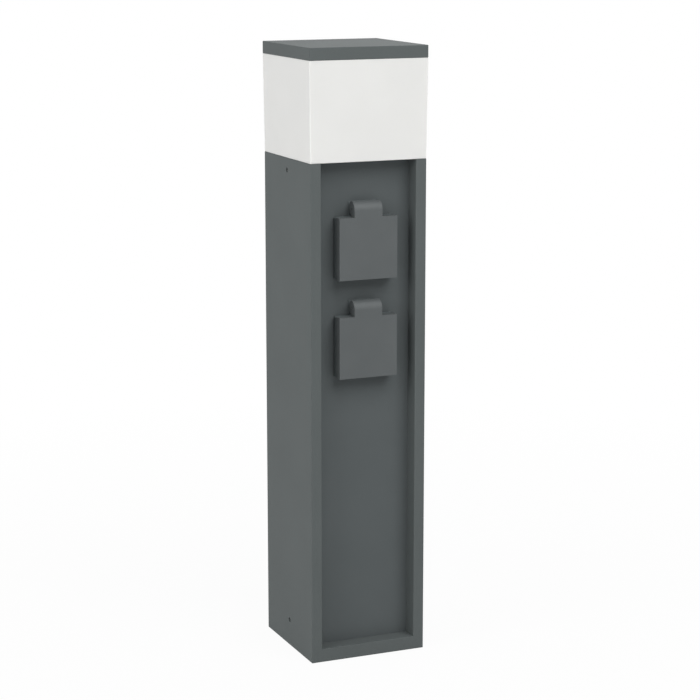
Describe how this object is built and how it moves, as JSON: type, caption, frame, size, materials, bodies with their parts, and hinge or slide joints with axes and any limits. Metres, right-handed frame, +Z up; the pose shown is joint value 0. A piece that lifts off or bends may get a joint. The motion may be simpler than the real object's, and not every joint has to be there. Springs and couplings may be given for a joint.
{
  "type": "garden socket post",
  "caption": "Square anthracite garden post with hinged-lid socket outlets in a recessed front panel and an opal light with a flat cap on top.",
  "frame": {"origin": "centre of the foot, on the ground", "axes": "+Z up, -Y is the front with the outlets, +X to the viewer's right"},
  "size_m": [0.1016, 0.1016, 0.5],
  "materials": {
    "post_coat": "fine-textured anthracite powder coat",
    "panel_coat": "fine-textured anthracite powder coat",
    "cap_coat": "fine-textured anthracite powder coat",
    "stainless_steel": "turned stainless steel",
    "zinc_steel": "zinc-plated steel",
    "flange_plastic": "moulded anthracite polyamide",
    "lid_plastic": "moulded anthracite polyamide, eroded texture",
    "well_plastic": "moulded anthracite polyamide",
    "seal_rubber": "black elastomer",
    "terminal_plastic": "light grey thermoset",
    "contact_brass": "bare brass",
    "tinned_metal": "tinned spring bronze",
    "cast_aluminium": "die-cast, bare",
    "opal_plastic": "opal acrylic, satin",
    "board_white": "white solder mask",
    "led_yellow": "phosphor",
    "driver_white": "moulded white plastic",
    "brown_insulation": "soft insulation",
    "blue_insulation": "soft insulation",
    "green_insulation": "soft insulation, green with yellow stripes"
  },
  "bodies": {
    "post": {"board_link": "driver_white", "board_screws": "zinc_steel", "bracket_screws": "zinc_steel", "cable_bush": "seal_rubber", "cable_strap": "zinc_steel", "cap_seal": "seal_rubber", "column_shell": "post_coat", "diffuser": "opal_plastic", "driver_screws": "zinc_steel", "earth_lug": "tinned_metal", "earth_nut": "zinc_steel", "earth_stud": "contact_brass", "earth_wires": "green_insulation", "foot_plate": "zinc_steel", "front_panel": "panel_coat", "lantern_tray": "cast_aluminium", "led_board": "board_white", "led_driver": "driver_white", "leds": "led_yellow", "live_wires": "brown_insulation", "lower_centre_screw": "stainless_steel", "lower_clamp_screws": "contact_brass", "lower_contact_block": "terminal_plastic", "lower_contacts": "contact_brass", "lower_earth_clip": "tinned_metal", "lower_flange_nuts": "stainless_steel", "lower_flange_screws": "stainless_steel", "lower_flange_seal": "seal_rubber", "lower_hinge_pin": "stainless_steel", "lower_lid_springs": "zinc_steel", "lower_outlet_body": "flange_plastic", "lower_outlet_insert": "well_plastic", "neutral_wires": "blue_insulation", "side_screws": "stainless_steel", "standoff_screws": "zinc_steel", "standoffs": "zinc_steel", "strap_screws": "stainless_steel", "terminal_block": "terminal_plastic", "terminal_bracket": "zinc_steel", "terminal_screws": "contact_brass", "top_cap": "cap_coat", "tray_seal": "seal_rubber", "upper_centre_screw": "stainless_steel", "upper_clamp_screws": "contact_brass", "upper_contact_block": "terminal_plastic", "upper_contacts": "contact_brass", "upper_earth_clip": "tinned_metal", "upper_flange_nuts": "stainless_steel", "upper_flange_screws": "stainless_steel", "upper_flange_seal": "seal_rubber", "upper_hinge_pin": "stainless_steel", "upper_lid_springs": "zinc_steel", "upper_outlet_body": "flange_plastic", "upper_outlet_insert": "well_plastic"},
    "upper_lid": {"upper_lid": "lid_plastic", "upper_lid_seal": "seal_rubber"},
    "lower_lid": {"lower_lid": "lid_plastic", "lower_lid_seal": "seal_rubber"}
  },
  "joints": [
    {"name": "upper_lid_hinge", "type": "hinge", "parent": "post", "child": "upper_lid", "pos_m": [0, -0.0435, 0.3718], "axis": [-1, 0, 0], "range_deg": [0, 100], "stiffness_Nm_per_rad": 0.03, "springref_deg": -60.16},
    {"name": "lower_lid_hinge", "type": "hinge", "parent": "post", "child": "lower_lid", "pos_m": [0, -0.0435, 0.2918], "axis": [-1, 0, 0], "range_deg": [0, 100], "stiffness_Nm_per_rad": 0.03, "springref_deg": -60.16}
  ]
}
